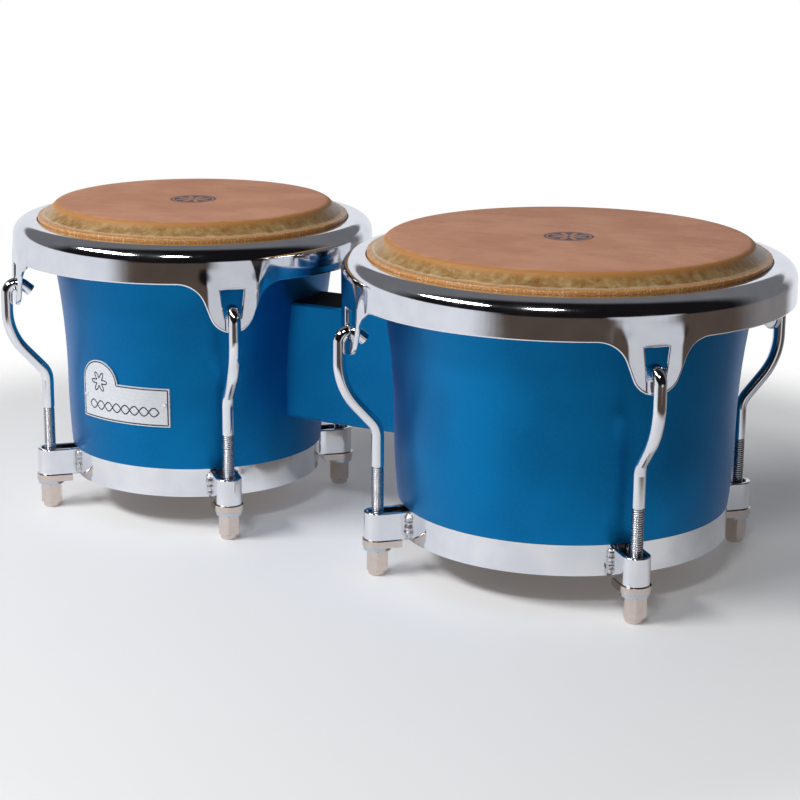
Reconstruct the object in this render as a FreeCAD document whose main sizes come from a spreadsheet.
"""A pair of bongo drums: two tapered wooden shells joined by a block, with hooked tuning rods.

Frame: +X from the small drum to the large one, +Z up, origin under the middle of the
bounding box, on the surface that the eight tuning nuts stand on. Millimetres.
"""
import FreeCAD, Part
import math
import os
import Sketcher

NODE_FOLDER = "parts"
EAR_COUNT = 4
FIRST_EAR_ANGLE = 45.0
SIZE_SHEET = "Sizes"

# Driving dimensions, one spreadsheet cell each.
DRIVING_SIZES = {
    # the two drums
    "drum_spacing": 245.6,
    "large_mouth_radius": 106.4,
    "large_waist_radius": 94.8,
    "large_foot_radius": 92.5,
    "large_ring_radius": 92.3,
    "large_hoop_radius": 124.4,
    "large_hoop_opening": 110.9,
    "large_rod_circle": 108.1,
    "small_mouth_radius": 88.3,
    "small_waist_radius": 77.5,
    "small_foot_radius": 75.9,
    "small_ring_radius": 74.6,
    "small_hoop_radius": 107.3,
    "small_hoop_opening": 92.8,
    "small_rod_circle": 90.5,
    # shell heights and wall
    "shell_wall": 9.5,
    "waist_height": 77.0,
    "mouth_height": 172.0,
    # bottom ring, lugs and the stack under them
    "nut_height": 14.8,
    "running_gap": 0.05,
    "washer_thickness": 2.0,
    "washer_radius": 7.8,
    "saddle_thickness": 3.8,
    "saddle_radius": 8.4,
    "saddle_reach": 12.0,
    "band_height": 16.9,
    "band_thickness": 3.0,
    "band_lip": 10.5,
    "fit_gap": 0.3,
    "lug_height": 16.0,
    "lug_half_width": 7.6,
    "strap_thickness": 2.5,
    # hoop
    "hoop_top": 174.5,
    "hoop_wall": 2.8,
    "hoop_roll": 9.0,
    "skirt_bottom": 153.4,
    "ear_bottom": 125.6,
    "ear_lobe_radius": 13.3,
    "ear_shoulder_radius": 16.0,
    "ear_side_angle": 69.0,
    "facet_half_width": 16.0,
    "facet_wing_width": 4.5,
    "facet_wing_drop": 2.7,
    "facet_top_setback": 0.6,
    "facet_lean": 1.6,
    "facet_window_drop": 2.0,
    "slot_top": 150.2,
    "slot_bottom": 134.4,
    "slot_top_half_width": 6.8,
    "slot_bottom_half_width": 4.7,
    # tuning rods
    "rod_radius": 3.5,
    "rod_clearance": 0.5,
    "thread_core_radius": 2.75,
    "rod_end": 2.0,
    "shank_bottom": 62.3,
    "slant_angle": 42.0,
    "slant_top": 122.0,
    "upper_bend_radius": 36.0,
    "lower_bend_radius": 12.0,
    "hook_radius": 6.2,
    "hook_centre_height": 132.2,
    "hook_inset": 0.75,
    "tip_angle": 40.0,
    "tip_length": 5.0,
    # tuning nuts
    "nut_across_flats": 11.6,
    "nut_bore_gap": 0.05,
    "nut_corner_inset": 0.2,
    "nut_corner_slope": 28.8,
    "collar_radius": 5.1,
    "collar_height": 2.8,
    "collar_round": 1.2,
    # heads
    "skin_thickness": 1.2,
    "skin_gap": 0.1,
    "head_top": 184.3,
    "crown_radius": 5.0,
    "crown_slope": 40.8,
    "collar_inset": 3.2,
    "collar_foot": 176.8,
    "lap_inset": 0.3,
    "lap_round": 0.8,
    "skin_flange_top": 171.2,
    "skin_flange_width": 6.0,
    "skin_flange_depth": 6.6,
    "flesh_wire_radius": 2.0,
    "flesh_wire_gap": 0.2,
    # centre block and its bolts
    "block_half_width": 18.0,
    "block_bottom": 63.0,
    "block_top": 133.5,
    "block_edge_round": 2.5,
    "lower_bolt_height": 80.0,
    "upper_bolt_height": 116.0,
    "bolt_radius": 3.0,
    "bolt_clearance": 0.3,
    "bolt_length": 22.0,
    "bolt_end_room": 4.0,
    "bolt_head_height": 4.0,
    "bolt_head_flats": 10.0,
    "bolt_washer_radius": 9.0,
    "bolt_washer_thickness": 1.6,
    "seat_radius": 9.6,
    "seat_depth": 2.4,
    "insert_radius": 4.5,
    "insert_length": 14.0,
    # name plate
    "plate_thickness": 0.8,
    "plate_bottom": 63.5,
    "plate_step": 86.5,
    "plate_arch_height": 99.0,
    "plate_gap": 0.1,
    "plate_left": 30.8,
    "plate_right": 29.8,
    "plate_arch_width": 28.2,
    "pin_radius": 1.0,
    "pin_depth": 0.45,
    "pin_stand": 0.7,
    "pin_height": 77.0,
    "pin_inset": 2.6,
}


class Size:
    """A dimension: its formula over the spreadsheet's cells, and its present value."""

    def __init__(self, formula, value):
        self.formula = formula
        self.value = value

    def combine(self, other, sign, result):
        other = as_size(other)
        return Size("(%s %s %s)" % (self.formula, sign, other.formula), result(self.value, other.value))

    def __add__(self, other):
        return self.combine(other, "+", lambda a, b: a + b)

    def __sub__(self, other):
        return self.combine(other, "-", lambda a, b: a - b)

    def __mul__(self, other):
        return self.combine(other, "*", lambda a, b: a * b)

    def __truediv__(self, other):
        return self.combine(other, "/", lambda a, b: a / b)

    def __neg__(self):
        return Size("(0 - %s)" % self.formula, -self.value)


def as_size(number):
    """A Size as it is, or a plain number as a Size."""
    if isinstance(number, Size):
        return number
    return Size(repr(float(number)), float(number))


def cell(alias):
    """The Size that a spreadsheet cell holds."""
    return Size("%s.%s" % (SIZE_SHEET, alias), DRIVING_SIZES[alias])


def sine(angle):
    return Size("sin(%s)" % angle.formula, math.sin(math.radians(angle.value)))


def cosine(angle):
    return Size("cos(%s)" % angle.formula, math.cos(math.radians(angle.value)))


def root(square):
    return Size("sqrt(%s)" % square.formula, math.sqrt(square.value))


def bind(target, prop, size):
    """Binds one property to its formula."""
    target.setExpression(prop, as_size(size).formula)


def make_sheet(doc):
    sheet = doc.addObject("Spreadsheet::Sheet", SIZE_SHEET)
    for row, (alias, value) in enumerate(DRIVING_SIZES.items(), start=1):
        address = "A%d" % row
        sheet.set(address, str(value))
        sheet.setAlias(address, alias)
    doc.recompute()


# ---------------------------------------------------------------- sketch tools


def new_body(doc, label):
    body = doc.addObject("PartDesign::Body", label)
    body.Label = label
    return body


def origin_feature(body, role):
    return next(item for item in body.Origin.OriginFeatures if item.Role == role)


def new_sketch(body, name, plane, offset=None):
    """A sketch on one of the body's own origin planes, raised by offset along its normal."""
    sketch = body.newObject("Sketcher::SketchObject", name)
    sketch.AttachmentSupport = [(origin_feature(body, plane), "")]
    sketch.MapMode = "FlatFace"
    if offset is not None:
        sketch.AttachmentOffset = FreeCAD.Placement(FreeCAD.Vector(0, 0, offset.value), FreeCAD.Rotation())
        bind(sketch, "AttachmentOffset.Base.z", offset)
    return sketch


def constrain(sketch, size, kind, *references):
    """Adds one dimension; a zero distance becomes a point on an axis."""
    size = as_size(size)
    if kind in ("DistanceX", "DistanceY") and abs(size.value) < 1e-9:
        axis = -2 if kind == "DistanceX" else -1
        sketch.addConstraint(Sketcher.Constraint("PointOnObject", references[-2], references[-1], axis))
        return
    index = sketch.addConstraint(Sketcher.Constraint(kind, *references, size.value))
    sketch.setExpression("Constraints[%d]" % index, size.formula)


def arc_between(start, end, radius):
    """The short arc from start to end; a positive radius turns left, a negative one right."""
    chord = end - start
    middle = (start + end) * 0.5
    left = FreeCAD.Vector(-chord.y, chord.x, 0).normalize()
    side = 1.0 if radius > 0 else -1.0
    reach = math.sqrt(max(radius * radius - chord.Length ** 2 / 4, 0.0))
    centre = middle + left * (reach * side)
    bulge = centre - left * (abs(radius) * side)
    return Part.Arc(start, bulge, end)


def add_path(sketch, steps, closed=True):
    """Draws lines and arcs through (x, y) or (x, y, turn radius) steps and dimensions each point."""
    points = [FreeCAD.Vector(as_size(step[0]).value, as_size(step[1]).value, 0) for step in steps]
    count = len(steps) if closed else len(steps) - 1
    edges = []
    for number in range(count):
        start = points[number]
        following = (number + 1) % len(steps)
        end = points[following]
        step = steps[following]
        if len(step) == 3:
            edge = sketch.addGeometry(arc_between(start, end, as_size(step[2]).value), False)
            turns_left = as_size(step[2]).value > 0
        else:
            edge = sketch.addGeometry(Part.LineSegment(start, end), False)
            turns_left = True
        edges.append((edge, 1 if turns_left else 2, 2 if turns_left else 1, step))
    for number, (edge, _, last, step) in enumerate(edges):
        if closed or number + 1 < len(edges):
            following, first, _, _ = edges[(number + 1) % len(edges)]
            sketch.addConstraint(Sketcher.Constraint("Coincident", edge, last, following, first))
        constrain(sketch, step[0], "DistanceX", -1, 1, edge, last)
        constrain(sketch, step[1], "DistanceY", -1, 1, edge, last)
        if len(step) == 3:
            radius = as_size(step[2])
            constrain(sketch, radius if radius.value > 0 else -radius, "Radius", edge)
    if not closed:
        edge, first, _, _ = edges[0]
        constrain(sketch, steps[0][0], "DistanceX", -1, 1, edge, first)
        constrain(sketch, steps[0][1], "DistanceY", -1, 1, edge, first)
    return ["Edge%d" % (number + 1) for number in range(count)]


def add_circle(sketch, centre_x, centre_y, radius):
    centre = FreeCAD.Vector(as_size(centre_x).value, as_size(centre_y).value, 0)
    edge = sketch.addGeometry(Part.Circle(centre, FreeCAD.Vector(0, 0, 1), as_size(radius).value), False)
    constrain(sketch, centre_x, "DistanceX", -1, 1, edge, 3)
    constrain(sketch, centre_y, "DistanceY", -1, 1, edge, 3)
    constrain(sketch, radius, "Radius", edge)


def add_hexagon(sketch, centre_x, centre_y, across_flats):
    """A hexagon with two corners on the sketch's horizontal through its centre."""
    corner = across_flats / math.sqrt(3.0)
    flat = across_flats / 2.0
    half = corner / 2.0
    add_path(sketch, [
        (centre_x + corner, centre_y),
        (centre_x + half, centre_y + flat),
        (centre_x - half, centre_y + flat),
        (centre_x - corner, centre_y),
        (centre_x - half, centre_y - flat),
        (centre_x + half, centre_y - flat),
    ])


def add_rectangle(sketch, left, bottom, right, top):
    add_path(sketch, [(left, bottom), (right, bottom), (right, top), (left, top)])


def extrude(body, kind, name, sketch, length, reverse=False):
    feature = body.newObject("PartDesign::" + kind, name)
    feature.Profile = sketch
    bind(feature, "Length", length)
    feature.Reversed = reverse
    return feature


def revolve(body, kind, name, sketch):
    feature = body.newObject("PartDesign::" + kind, name)
    feature.Profile = sketch
    feature.ReferenceAxis = (sketch, ["V_Axis"])
    feature.Angle = 360.0
    return feature


def repeat_round(body, name, features):
    """Repeats features at the four ear angles about the drum's axis."""
    pattern = body.newObject("PartDesign::PolarPattern", name)
    pattern.Originals = features
    pattern.Axis = (origin_feature(body, "Z_Axis"), [""])
    pattern.Angle = 360.0
    pattern.Occurrences = EAR_COUNT
    body.Tip = pattern
    return pattern


# ---------------------------------------------------------------- derived sizes


class Drum:
    """One drum's own sizes, worked out from the sheet, and its place in the frame."""

    def __init__(self, name):
        self.name = name
        for key in ("mouth_radius", "waist_radius", "foot_radius", "ring_radius",
                    "hoop_radius", "hoop_opening", "rod_circle"):
            setattr(self, key, cell("%s_%s" % (name, key)))
        half_spacing = cell("drum_spacing") / 2
        centring = (cell("large_hoop_radius") - cell("small_hoop_radius")) / 2
        is_large = name == "large"
        self.centre_x = half_spacing - centring if is_large else -half_spacing - centring
        self.block_side = -1.0 if is_large else 1.0
        self.block_angle = 180.0 if is_large else 0.0
        self.rebate_radius = self.ring_radius - cell("band_thickness") - cell("fit_gap")
        self.plate_radius = self.hoop_radius - cell("hook_inset")
        self.leg_radius = self.plate_radius + cell("hook_radius")
        self.collar_radius = self.hoop_opening - cell("collar_inset")
        self.lap_radius = self.hoop_opening - cell("lap_inset")
        self.flange_radius = self.lap_radius + cell("skin_flange_width")
        self.bolt_seat = self.waist_radius - cell("shell_wall") + cell("seat_depth")


WASHER_BOTTOM = cell("nut_height") + cell("running_gap")
SADDLE_BOTTOM = WASHER_BOTTOM + cell("washer_thickness")
RING_BOTTOM = SADDLE_BOTTOM + cell("saddle_thickness")
BAND_TOP = RING_BOTTOM + cell("band_height")
SHELL_BOTTOM = RING_BOTTOM + cell("band_thickness")
FOOT_HEIGHT = BAND_TOP + cell("fit_gap")
HOLE_RADIUS = cell("rod_radius") + cell("rod_clearance")
BOLT_HEIGHTS = (cell("lower_bolt_height"), cell("upper_bolt_height"))
BLOCK_OVERLAP = cell("block_half_width")

# How far a cutting outline runs past the material that it cuts.
CUT_MARGIN = 5.0


def arc_radius(rise, bulge):
    """Radius of an arc that leaves the vertical and drifts sideways by bulge over rise."""
    return (rise * rise + bulge * bulge) / (bulge * 2)


def flare_radius(drum):
    rise = cell("mouth_height") - cell("waist_height")
    return arc_radius(rise, drum.mouth_radius - drum.waist_radius)


def taper_radius(drum):
    rise = cell("waist_height") - FOOT_HEIGHT
    return arc_radius(rise, drum.waist_radius - drum.foot_radius)


def side_radius(drum, height):
    """The shell's outer radius at one height, on its taper or on its flare."""
    rise = height - cell("waist_height")
    flared = rise.value > 0
    radius = flare_radius(drum) if flared else taper_radius(drum)
    drift = radius - root(radius * radius - rise * rise)
    return drum.waist_radius + drift if flared else drum.waist_radius - drift


def crown_steps(drum, depth):
    """The crown at one depth below the skin's face: top of the collar, end of the slope, edge of the flat."""
    slope = cell("crown_slope")
    wall = drum.collar_radius - depth
    foot = cell("collar_foot") - depth * (as_size(1) - sine(slope)) / cosine(slope)
    face = cell("head_top") - depth
    corner = wall - (face - foot) * cosine(slope) / sine(slope)
    bend = cell("crown_radius") - depth
    setback = bend * (as_size(1) - cosine(slope)) / sine(slope)
    slope_end = (corner + setback * cosine(slope), face - setback * sine(slope))
    return [(wall, foot), slope_end, (corner - setback, face, bend)]


def place(feature, drum, angle=0.0):
    """Stands a sub-part on its drum's axis, turned by angle."""
    turn = FreeCAD.Rotation(FreeCAD.Vector(0, 0, 1), angle)
    feature.Placement = FreeCAD.Placement(FreeCAD.Vector(drum.centre_x.value, 0, 0), turn)
    bind(feature, "Placement.Base.x", drum.centre_x)


# ---------------------------------------------------------------- sub-parts


def make_shell(doc, drum):
    """Turned wooden shell: rebated foot, tapering waist, flared mouth and a bevelled bearing edge."""
    body = new_body(doc, drum.name + "_shell")
    wall = cell("shell_wall")
    sketch = new_sketch(body, "ShellProfile", "XZ_Plane")
    inner_mouth = drum.mouth_radius - wall
    inner_waist = drum.waist_radius - wall
    inner_foot = drum.foot_radius - wall
    under_skin = cell("skin_thickness") + cell("skin_gap")
    bevel = crown_steps(drum, under_skin)
    edge_top = cell("head_top") - under_skin
    add_path(sketch, [
        (inner_foot, SHELL_BOTTOM),
        (drum.rebate_radius, SHELL_BOTTOM),
        (drum.rebate_radius, FOOT_HEIGHT),
        (drum.foot_radius, FOOT_HEIGHT),
        (drum.waist_radius, cell("waist_height"), taper_radius(drum)),
        (drum.mouth_radius, cell("mouth_height"), -flare_radius(drum)),
        *bevel,
        (inner_mouth, edge_top),
        (inner_mouth, cell("mouth_height")),
        (inner_waist, cell("waist_height"), flare_radius(drum)),
        (inner_foot, FOOT_HEIGHT, -taper_radius(drum)),
    ])
    revolve(body, "Revolution", "ShellTurning", sketch)
    seats = new_sketch(body, "WasherSeats", "YZ_Plane")
    holes = new_sketch(body, "BoltHoles", "YZ_Plane")
    for height in BOLT_HEIGHTS:
        add_circle(seats, 0, height, cell("seat_radius"))
        add_circle(holes, 0, height, cell("bolt_radius") + cell("bolt_clearance"))
    extrude(body, "Pocket", "WasherSeatCut", seats, drum.bolt_seat, reverse=True)
    extrude(body, "Pocket", "BoltHoleCut", holes, drum.mouth_radius, reverse=True)
    place(body, drum, drum.block_angle)
    return body


def make_bottom_ring(doc, drum):
    """Flat steel band round the shell's foot, with an inner lip that the shell stands on."""
    body = new_body(doc, drum.name + "_bottom_ring")
    sketch = new_sketch(body, "BandProfile", "XZ_Plane")
    inner = drum.ring_radius - cell("band_thickness")
    add_path(sketch, [
        (drum.ring_radius - cell("band_lip"), RING_BOTTOM),
        (drum.ring_radius, RING_BOTTOM),
        (drum.ring_radius, BAND_TOP),
        (inner, BAND_TOP),
        (inner, SHELL_BOTTOM),
        (drum.ring_radius - cell("band_lip"), SHELL_BOTTOM),
    ])
    revolve(body, "Revolution", "Band", sketch)
    place(body, drum)
    return body


def make_ring_lugs(doc, drum):
    """Four bent straps welded to the band, each looped round a tuning rod."""
    body = new_body(doc, drum.name + "_ring_lugs")
    outer = cell("lug_half_width")
    inner = outer - cell("strap_thickness")
    root_outer = root(drum.ring_radius * drum.ring_radius - outer * outer)
    root_inner = root(drum.ring_radius * drum.ring_radius - inner * inner)
    sketch = new_sketch(body, "StrapOutline", "XY_Plane", RING_BOTTOM)
    end = drum.rod_circle
    add_path(sketch, [
        (root_outer, -outer, -drum.ring_radius),
        (end, -outer),
        (end + outer, 0, outer),
        (end, outer, outer),
        (root_outer, outer),
        (root_inner, inner, -drum.ring_radius),
        (end, inner),
        (end + inner, 0, -inner),
        (end, -inner, -inner),
        (root_inner, -inner),
    ])
    pad = extrude(body, "Pad", "Strap", sketch, cell("lug_height"))
    repeat_round(body, "StrapPattern", [pad])
    place(body, drum, FIRST_EAR_ANGLE)
    return body


def make_saddles(doc, drum):
    """Four thick oblong washers that close the lugs from below."""
    body = new_body(doc, drum.name + "_saddle_washers")
    sketch = new_sketch(body, "SaddleOutline", "XY_Plane", SADDLE_BOTTOM)
    radius = cell("saddle_radius")
    end = drum.rod_circle
    back = end - cell("saddle_reach")
    add_path(sketch, [
        (end, -radius),
        (end + radius, 0, radius),
        (end, radius, radius),
        (back, radius),
        (back, -radius),
    ])
    add_circle(sketch, end, 0, HOLE_RADIUS)
    pad = extrude(body, "Pad", "Saddle", sketch, cell("saddle_thickness"))
    repeat_round(body, "SaddlePattern", [pad])
    place(body, drum, FIRST_EAR_ANGLE)
    return body


def make_washers(doc, drum):
    """Four round washers between the saddles and the nuts."""
    body = new_body(doc, drum.name + "_round_washers")
    sketch = new_sketch(body, "WasherOutline", "XY_Plane", WASHER_BOTTOM)
    add_circle(sketch, drum.rod_circle, 0, cell("washer_radius"))
    add_circle(sketch, drum.rod_circle, 0, HOLE_RADIUS)
    pad = extrude(body, "Pad", "Washer", sketch, cell("washer_thickness"))
    repeat_round(body, "WasherPattern", [pad])
    place(body, drum, FIRST_EAR_ANGLE)
    return body


def make_hoop(doc, drum):
    """Deep pressed hoop: flat rim, rolled shoulder, skirt, and four bell-shaped slotted ears."""
    body = new_body(doc, drum.name + "_hoop")
    wall = cell("hoop_wall")
    roll = cell("hoop_roll")
    outer = drum.hoop_radius
    inner = outer - wall
    top = cell("hoop_top")
    profile = new_sketch(body, "HoopProfile", "XZ_Plane")
    add_path(profile, [
        (inner, cell("ear_bottom")),
        (outer, cell("ear_bottom")),
        (outer, top - roll),
        (outer - roll, top, roll),
        (drum.hoop_opening, top),
        (drum.hoop_opening, top - wall),
        (outer - roll, top - wall),
        (inner, top - roll, -(roll - wall)),
    ])
    revolve(body, "Revolution", "HoopTurning", profile)
    cut_facet_windows(body, drum)
    add_facets(body, drum)
    cut_ear_outlines(body, drum)
    place(body, drum, FIRST_EAR_ANGLE)
    return body


def cut_facet_windows(body, drum):
    """Opens the round skirt where the flat ears go."""
    half = cell("facet_half_width") + cell("facet_wing_width") / 3
    bottom = cell("ear_bottom") - CUT_MARGIN
    top = cell("hoop_top") - cell("hoop_roll") - cell("facet_window_drop")
    window = new_sketch(body, "FacetWindow", "YZ_Plane")
    add_rectangle(window, -half, bottom, half, top)
    cut = extrude(body, "Pocket", "FacetWindowCut", window, drum.hoop_radius + CUT_MARGIN, reverse=True)
    repeat_round(body, "FacetWindowPattern", [cut])


def add_facets(body, drum):
    """Flat ear plates with a bent wing each side, leaning outwards a little towards their foot."""
    wall = cell("hoop_wall")
    half = cell("facet_half_width")
    wing = half + cell("facet_wing_width")
    drop = cell("facet_wing_drop")
    face = drum.hoop_radius - cell("facet_top_setback")
    height = cell("hoop_top") - cell("hoop_roll")
    sketch = new_sketch(body, "FacetSection", "XY_Plane", height)
    add_path(sketch, [
        (face, -half),
        (face, half),
        (face - drop, wing),
        (face - drop - wall, wing),
        (face - wall, half),
        (face - wall, -half),
        (face - drop - wall, -wing),
        (face - drop, -wing),
    ])
    pad = body.newObject("PartDesign::Pad", "FacetPad")
    pad.Profile = sketch
    pad.UseCustomVector = True
    depth = height - cell("ear_bottom")
    lean = cell("facet_lean")
    pad.Direction = FreeCAD.Vector(lean.value, 0, -depth.value)
    bind(pad, "Direction.x", lean)
    bind(pad, "Direction.z", -depth)
    pad.AlongSketchNormal = False
    bind(pad, "Length", root(lean * lean + depth * depth))
    repeat_round(body, "FacetPattern", [pad])


def cut_ear_outlines(body, drum):
    """Trims the skirt to its bell-shaped ears and cuts the tapered slot in each."""
    lobe = cell("ear_lobe_radius")
    shoulder = cell("ear_shoulder_radius")
    angle = cell("ear_side_angle")
    foot = cell("ear_bottom")
    skirt = cell("skirt_bottom")
    lobe_side = lobe * sine(angle)
    lobe_rise = lobe * (as_size(1) - cosine(angle))
    shoulder_side = shoulder * sine(angle)
    shoulder_drop = shoulder * (as_size(1) - cosine(angle))
    side_run = (skirt - foot - lobe_rise - shoulder_drop) * cosine(angle) / sine(angle)
    bell = lobe_side + side_run + shoulder_side
    below = foot - CUT_MARGIN
    reach = drum.hoop_radius * cosine(as_size(FIRST_EAR_ANGLE)) + CUT_MARGIN
    sketch = new_sketch(body, "BellOutline", "YZ_Plane")
    add_path(sketch, [
        (-reach, below),
        (reach, below),
        (reach, skirt),
        (bell, skirt),
        (lobe_side + side_run, skirt - shoulder_drop, shoulder),
        (lobe_side, foot + lobe_rise),
        (0, foot, -lobe),
        (-lobe_side, foot + lobe_rise, -lobe),
        (-lobe_side - side_run, skirt - shoulder_drop),
        (-bell, skirt, shoulder),
        (-reach, skirt),
    ])
    slot = new_sketch(body, "HookSlot", "YZ_Plane")
    top_half = cell("slot_top_half_width")
    bottom_half = cell("slot_bottom_half_width")
    add_path(slot, [
        (-bottom_half, cell("slot_bottom")),
        (bottom_half, cell("slot_bottom")),
        (top_half, cell("slot_top")),
        (-top_half, cell("slot_top")),
    ])
    through = drum.hoop_radius + CUT_MARGIN
    outline = extrude(body, "Pocket", "BellCut", sketch, through, reverse=True)
    opening = extrude(body, "Pocket", "SlotCut", slot, through, reverse=True)
    repeat_round(body, "EarPattern", [outline, opening])


def make_rod(doc, drum, number):
    """Tuning rod: threaded end in the lug, an outward dog-leg, and a hook over the ear's slot."""
    body = new_body(doc, "%s_tuning_rod_%d" % (drum.name, number))
    radius = cell("rod_radius")
    lower = cell("lower_bend_radius")
    upper = cell("upper_bend_radius")
    slant = cell("slant_angle")
    tip = cell("tip_angle")
    hook = cell("hook_radius")
    centre_height = cell("hook_centre_height")
    start = drum.rod_circle
    lower_shift = lower * (as_size(1) - cosine(slant))
    upper_foot_x = drum.leg_radius - upper * (as_size(1) - cosine(slant))
    upper_foot_z = cell("slant_top") - upper * sine(slant)
    slant_run = upper_foot_x - start - lower_shift
    lower_top_z = upper_foot_z - slant_run * cosine(slant) / sine(slant)
    tip_start_x = drum.plate_radius - hook * sine(tip)
    tip_start_z = centre_height + hook * cosine(tip)
    path = new_sketch(body, "RodPath", "XZ_Plane")
    edges = add_path(path, [
        (start, cell("shank_bottom")),
        (start, lower_top_z - lower * sine(slant)),
        (start + lower_shift, lower_top_z, -lower),
        (upper_foot_x, upper_foot_z),
        (drum.leg_radius, cell("slant_top"), upper),
        (drum.leg_radius, centre_height),
        (drum.plate_radius, centre_height + hook, hook),
        (tip_start_x, tip_start_z, hook),
        (tip_start_x - cell("tip_length") * cosine(tip), tip_start_z - cell("tip_length") * sine(tip)),
    ], closed=False)
    section = new_sketch(body, "RodSection", "XY_Plane", cell("shank_bottom"))
    add_circle(section, start, 0, radius)
    pipe = body.newObject("PartDesign::AdditivePipe", "BentRod")
    pipe.Profile = section
    pipe.Spine = (path, edges)
    core = new_sketch(body, "ThreadCore", "XY_Plane", cell("rod_end"))
    add_circle(core, start, 0, cell("thread_core_radius"))
    extrude(body, "Pad", "ThreadedEnd", core, cell("shank_bottom") - cell("rod_end") + cell("rod_radius"))
    place(body, drum, FIRST_EAR_ANGLE + 90.0 * (number - 1))
    return body


def make_nut(doc, drum, number):
    """Tall hexagon tuning nut with chamfered corners and a rolled collar at its foot."""
    body = new_body(doc, "%s_tuning_nut_%d" % (drum.name, number))
    flats = cell("nut_across_flats")
    corner = flats / math.sqrt(3.0)
    height = cell("nut_height")
    collar = cell("collar_height")
    hexagon = new_sketch(body, "Hexagon", "XY_Plane", collar)
    add_hexagon(hexagon, as_size(0), as_size(0), flats)
    extrude(body, "Pad", "HexPad", hexagon, height - collar)
    chamfer = new_sketch(body, "CornerChamfers", "XZ_Plane")
    clear = corner + cell("nut_corner_inset")
    touch = flats / 2 - cell("nut_corner_inset")
    slope = (clear - touch) * sine(cell("nut_corner_slope")) / cosine(cell("nut_corner_slope"))
    add_path(chamfer, [(touch, height), (clear, height - slope), (clear, height)])
    add_path(chamfer, [(touch, collar), (clear, collar), (clear, collar + slope)])
    revolve(body, "Groove", "CornerCut", chamfer)
    rolled = new_sketch(body, "CollarProfile", "XZ_Plane")
    outer = cell("collar_radius")
    bead = cell("collar_round")
    add_path(rolled, [
        (0, 0),
        (outer - bead, 0),
        (outer, bead, bead),
        (outer, collar),
        (0, collar),
    ])
    revolve(body, "Revolution", "Collar", rolled)
    bore = new_sketch(body, "Bore", "XY_Plane")
    add_circle(bore, 0, 0, cell("thread_core_radius") + cell("nut_bore_gap"))
    extrude(body, "Pocket", "BoreCut", bore, height + CUT_MARGIN, reverse=True)
    angle = math.radians(FIRST_EAR_ANGLE + 90.0 * (number - 1))
    x = drum.centre_x + drum.rod_circle * math.cos(angle)
    y = drum.rod_circle * math.sin(angle)
    body.Placement = FreeCAD.Placement(FreeCAD.Vector(x.value, y.value, 0), FreeCAD.Rotation())
    bind(body, "Placement.Base.x", x)
    bind(body, "Placement.Base.y", y)
    return body


def make_skin(doc, drum):
    """Drum skin: flat playing face, sloping crown, lapped collar, and a flange round the flesh ring."""
    body = new_body(doc, drum.name + "_head_skin")
    skin = cell("skin_thickness")
    flange = drum.flange_radius
    flange_top = cell("skin_flange_top")
    flange_bottom = flange_top - cell("skin_flange_depth")
    lap = drum.lap_radius
    lap_round = cell("lap_round")
    under_wall, under_slope, under_flat = crown_steps(drum, skin)
    wall, slope, flat = crown_steps(drum, as_size(0))
    sketch = new_sketch(body, "SkinProfile", "XZ_Plane")
    add_path(sketch, [
        (0, cell("head_top") - skin),
        under_flat[:2],
        (*under_slope, -under_flat[2]),
        under_wall,
        (under_wall[0], flange_top - skin),
        (flange - skin, flange_top - skin),
        (flange - skin, flange_bottom + skin),
        (lap, flange_bottom + skin),
        (lap, flange_bottom),
        (flange, flange_bottom),
        (flange, flange_top),
        (lap, flange_top),
        (lap, wall[1] - lap_round),
        (lap - lap_round, wall[1], lap_round),
        wall,
        slope,
        flat,
        (0, cell("head_top")),
    ])
    revolve(body, "Revolution", "Skin", sketch)
    place(body, drum)
    return body


def make_flesh_ring(doc, drum):
    """Round wire ring that the skin is lapped on, held under the hoop's rim."""
    body = new_body(doc, drum.name + "_flesh_ring")
    wire = cell("flesh_wire_radius")
    bend = drum.flange_radius - cell("skin_thickness") - cell("flesh_wire_gap") - wire
    middle = cell("skin_flange_top") - cell("skin_flange_depth") / 2
    sketch = new_sketch(body, "WireSection", "XZ_Plane")
    add_circle(sketch, bend, middle, wire)
    revolve(body, "Revolution", "Wire", sketch)
    place(body, drum)
    return body


def make_centre_block(doc, drums):
    """Wooden block between the shells, with coped ends and pockets for inserts and bolts."""
    small, large = drums
    body = new_body(doc, "centre_block")
    half = cell("block_half_width")
    edge = cell("block_edge_round")
    bottom = cell("block_bottom")
    top = cell("block_top")
    start = small.centre_x + small.waist_radius - BLOCK_OVERLAP
    section = new_sketch(body, "BlockSection", "YZ_Plane", start)
    add_path(section, [
        (edge - half, bottom, edge),
        (half - edge, bottom),
        (half, bottom + edge, edge),
        (half, top - edge),
        (half - edge, top, edge),
        (edge - half, top),
        (-half, top - edge, edge),
        (-half, bottom + edge),
    ])
    gap = cell("drum_spacing") - small.waist_radius - large.waist_radius
    extrude(body, "Pad", "BlockPad", section, gap + BLOCK_OVERLAP * 2)
    insert_depth = cell("insert_length") + cell("shell_wall")
    bolt_depth = cell("bolt_length") + cell("bolt_end_room")
    for drum in drums:
        title = drum.name.capitalize()
        cope_block_end(body, drum, title + "Cope")
        drill_block(body, drum, title + "InsertPocket", insert_depth, cell("insert_radius"))
        drill_block(body, drum, title + "BoltPocket", bolt_depth, cell("bolt_radius") + cell("bolt_clearance"))
    return body


def drill_block(body, drum, name, depth, radius):
    """Two blind holes into the block, measured from the bolts' seats inside the shell."""
    sketch = new_sketch(body, name, "YZ_Plane", drum.centre_x + drum.bolt_seat * drum.block_side)
    for height in BOLT_HEIGHTS:
        add_circle(sketch, 0, height, radius)
    extrude(body, "Pocket", name + "Cut", sketch, depth, reverse=drum.block_side > 0)


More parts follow.
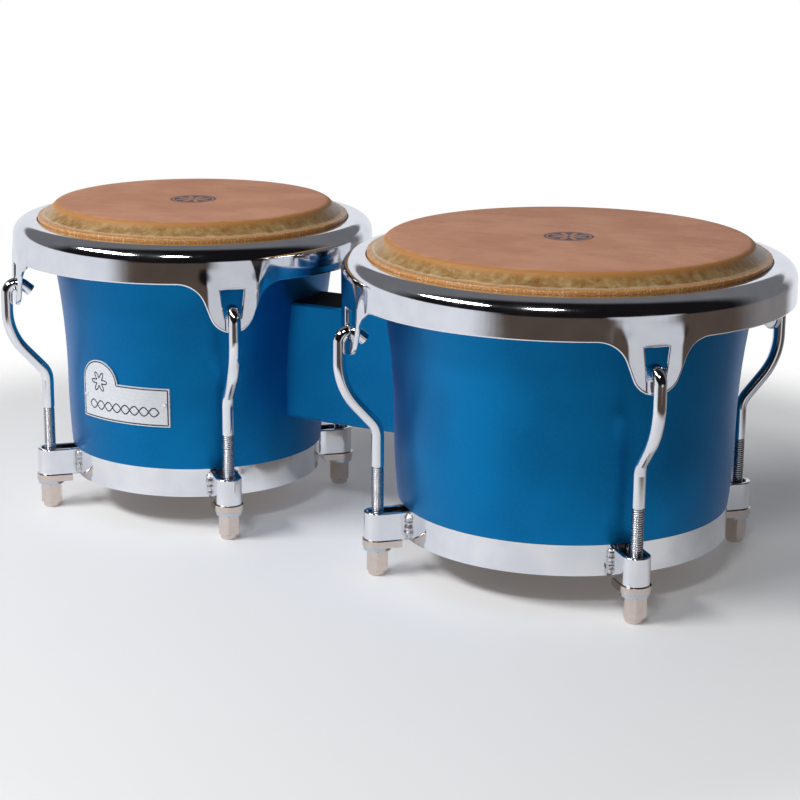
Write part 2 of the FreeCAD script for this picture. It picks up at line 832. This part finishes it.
def cope_block_end(body, drum, name):
    """Cuts one block end to the shell's outer shape, by turning that shape about the drum's axis."""
    sign = drum.block_side
    centre = drum.centre_x
    flare = flare_radius(drum)
    taper = taper_radius(drum)
    sketch = new_sketch(body, name + "Outline", "XZ_Plane")
    foot = centre + drum.foot_radius * sign
    waist = centre + drum.waist_radius * sign
    mouth = centre + drum.mouth_radius * sign
    add_path(sketch, [
        (centre, FOOT_HEIGHT),
        (foot, FOOT_HEIGHT),
        (waist, cell("waist_height"), taper * sign),
        (mouth, cell("mouth_height"), -flare * sign),
        (centre, cell("mouth_height")),
    ])
    axis_start = FreeCAD.Vector(centre.value, 0, 0)
    axis_end = FreeCAD.Vector(centre.value, CUT_MARGIN, 0)
    axis = sketch.addGeometry(Part.LineSegment(axis_start, axis_end), True)
    sketch.addConstraint(Sketcher.Constraint("Vertical", axis))
    sketch.addConstraint(Sketcher.Constraint("PointOnObject", axis, 1, -1))
    constrain(sketch, centre, "DistanceX", -1, 1, axis, 1)
    constrain(sketch, CUT_MARGIN, "DistanceY", axis, 1, axis, 2)
    groove = body.newObject("PartDesign::Groove", name)
    groove.Profile = sketch
    groove.ReferenceAxis = (sketch, ["Axis0"])
    groove.Angle = 360.0
    return groove


def make_block_hardware(doc, drum):
    """Two bolts, two washers and two threaded inserts that hold the block to one shell."""
    seat = drum.bolt_seat
    washer = cell("bolt_washer_thickness")
    bolts = new_body(doc, drum.name + "_block_bolts")
    heads = new_sketch(bolts, "BoltHeads", "YZ_Plane", seat - washer - cell("bolt_head_height"))
    shanks = new_sketch(bolts, "BoltShanks", "YZ_Plane", seat - washer)
    washers = new_body(doc, drum.name + "_block_washers")
    rings = new_sketch(washers, "WasherRings", "YZ_Plane", seat - washer)
    inserts = new_body(doc, drum.name + "_block_inserts")
    sleeves = new_sketch(inserts, "InsertSleeves", "YZ_Plane", seat + cell("shell_wall"))
    for height in BOLT_HEIGHTS:
        add_hexagon(heads, as_size(0), height, cell("bolt_head_flats"))
        add_circle(shanks, 0, height, cell("bolt_radius"))
        add_circle(rings, 0, height, cell("bolt_washer_radius"))
        add_circle(rings, 0, height, cell("bolt_radius") + cell("bolt_clearance"))
        add_circle(sleeves, 0, height, cell("insert_radius"))
        add_circle(sleeves, 0, height, cell("bolt_radius") + cell("running_gap"))
    extrude(bolts, "Pad", "HeadPad", heads, cell("bolt_head_height"))
    extrude(bolts, "Pad", "ShankPad", shanks, cell("bolt_length") + washer)
    extrude(washers, "Pad", "WasherPad", rings, washer)
    extrude(inserts, "Pad", "SleevePad", sleeves, cell("insert_length"))
    bodies = [bolts, washers, inserts]
    for body in bodies:
        place(body, drum, drum.block_angle)
    return bodies


def plate_outline():
    """The name plate's outline as seen from the front: an arched end and a lower oblong end."""
    left = -cell("plate_left")
    arch = cell("plate_arch_width") / 2
    return [
        (left, cell("plate_bottom")),
        (cell("plate_right"), cell("plate_bottom")),
        (cell("plate_right"), cell("plate_step")),
        (left + arch * 2, cell("plate_step")),
        (left + arch, cell("plate_arch_height"), arch),
        (left, cell("plate_arch_height") - arch, arch),
    ]


def pin_spots():
    return (cell("pin_inset") - cell("plate_left"), cell("plate_right") - cell("pin_inset"))


def make_name_plate(doc, drum):
    """Thin blank plate that hugs the small shell's front."""
    body = new_body(doc, "name_plate")
    low = cell("plate_bottom") - CUT_MARGIN
    high = cell("plate_arch_height") + CUT_MARGIN
    waist = cell("waist_height")
    back = cell("plate_gap")
    face = back + cell("plate_thickness")
    strip = new_sketch(body, "PlateSection", "XZ_Plane")
    add_path(strip, [
        (side_radius(drum, low) + back, low, -taper_radius(drum)),
        (side_radius(drum, low) + face, low),
        (drum.waist_radius + face, waist, taper_radius(drum)),
        (side_radius(drum, high) + face, high, -flare_radius(drum)),
        (side_radius(drum, high) + back, high),
        (drum.waist_radius + back, waist, flare_radius(drum)),
    ])
    revolve(body, "Revolution", "PlateStrip", strip)
    reach = drum.mouth_radius
    trim = new_sketch(body, "PlateOutline", "XZ_Plane")
    add_rectangle(trim, -reach, low - CUT_MARGIN, reach, high + CUT_MARGIN)
    add_path(trim, plate_outline())
    extrude(body, "Pocket", "PlateTrim", trim, reach, reverse=True)
    rear = new_sketch(body, "RearHalf", "XZ_Plane")
    add_rectangle(rear, -reach, low - CUT_MARGIN, reach, high + CUT_MARGIN)
    extrude(body, "Pocket", "RearCut", rear, reach)
    holes = new_sketch(body, "PinHoles", "XZ_Plane")
    for spot in pin_spots():
        add_circle(holes, spot, cell("pin_height"), cell("pin_radius") + cell("running_gap"))
    extrude(body, "Pocket", "PinHoleCut", holes, reach, reverse=True)
    place(body, drum)
    return body


def make_plate_pins(doc, drum):
    """Two small pins through the plate's ends."""
    body = new_body(doc, "plate_pins")
    face = drum.waist_radius + cell("plate_gap") + cell("plate_thickness")
    for number, spot in enumerate(pin_spots(), start=1):
        depth = root(face * face - spot * spot)
        sketch = new_sketch(body, "PinOutline%d" % number, "XZ_Plane", depth - cell("pin_depth"))
        add_circle(sketch, spot, cell("pin_height"), cell("pin_radius"))
        extrude(body, "Pad", "Pin%d" % number, sketch, cell("pin_depth") + cell("pin_stand"))
    place(body, drum)
    return body


# ---------------------------------------------------------------- the whole object


def build_nodes(doc):
    drums = (Drum("small"), Drum("large"))
    nodes = []
    for drum in drums:
        nodes.append(make_shell(doc, drum))
        nodes.append(make_bottom_ring(doc, drum))
        nodes.append(make_ring_lugs(doc, drum))
        nodes.append(make_saddles(doc, drum))
        nodes.append(make_washers(doc, drum))
        nodes.append(make_hoop(doc, drum))
        nodes.append(make_skin(doc, drum))
        nodes.append(make_flesh_ring(doc, drum))
        nodes.extend(make_block_hardware(doc, drum))
        for number in range(1, EAR_COUNT + 1):
            nodes.append(make_rod(doc, drum, number))
            nodes.append(make_nut(doc, drum, number))
    nodes.append(make_centre_block(doc, drums))
    nodes.append(make_name_plate(doc, drums[0]))
    nodes.append(make_plate_pins(doc, drums[0]))
    return nodes


def check_document(doc, nodes):
    """Stops before anything is written if a feature failed or a sub-part isn't a valid solid."""
    for item in doc.Objects:
        if "Invalid" in item.State or "Error" in item.State:
            raise RuntimeError("%s failed: %s" % (item.Name, item.State))
    for node in nodes:
        shape = node.Shape
        if shape.isNull() or not shape.isValid() or not shape.Solids:
            raise RuntimeError("%s has no valid solid" % node.Label)


def main():
    doc = FreeCAD.newDocument("bongos")
    make_sheet(doc)
    nodes = build_nodes(doc)
    doc.recompute()
    check_document(doc, nodes)
    os.makedirs(NODE_FOLDER, exist_ok=True)
    for node in nodes:
        node.Shape.exportStep(os.path.join(NODE_FOLDER, node.Label + ".step"))
        print("%-24s %2d solids %10.0f mm3" % (node.Label, len(node.Shape.Solids), node.Shape.Volume))


main()
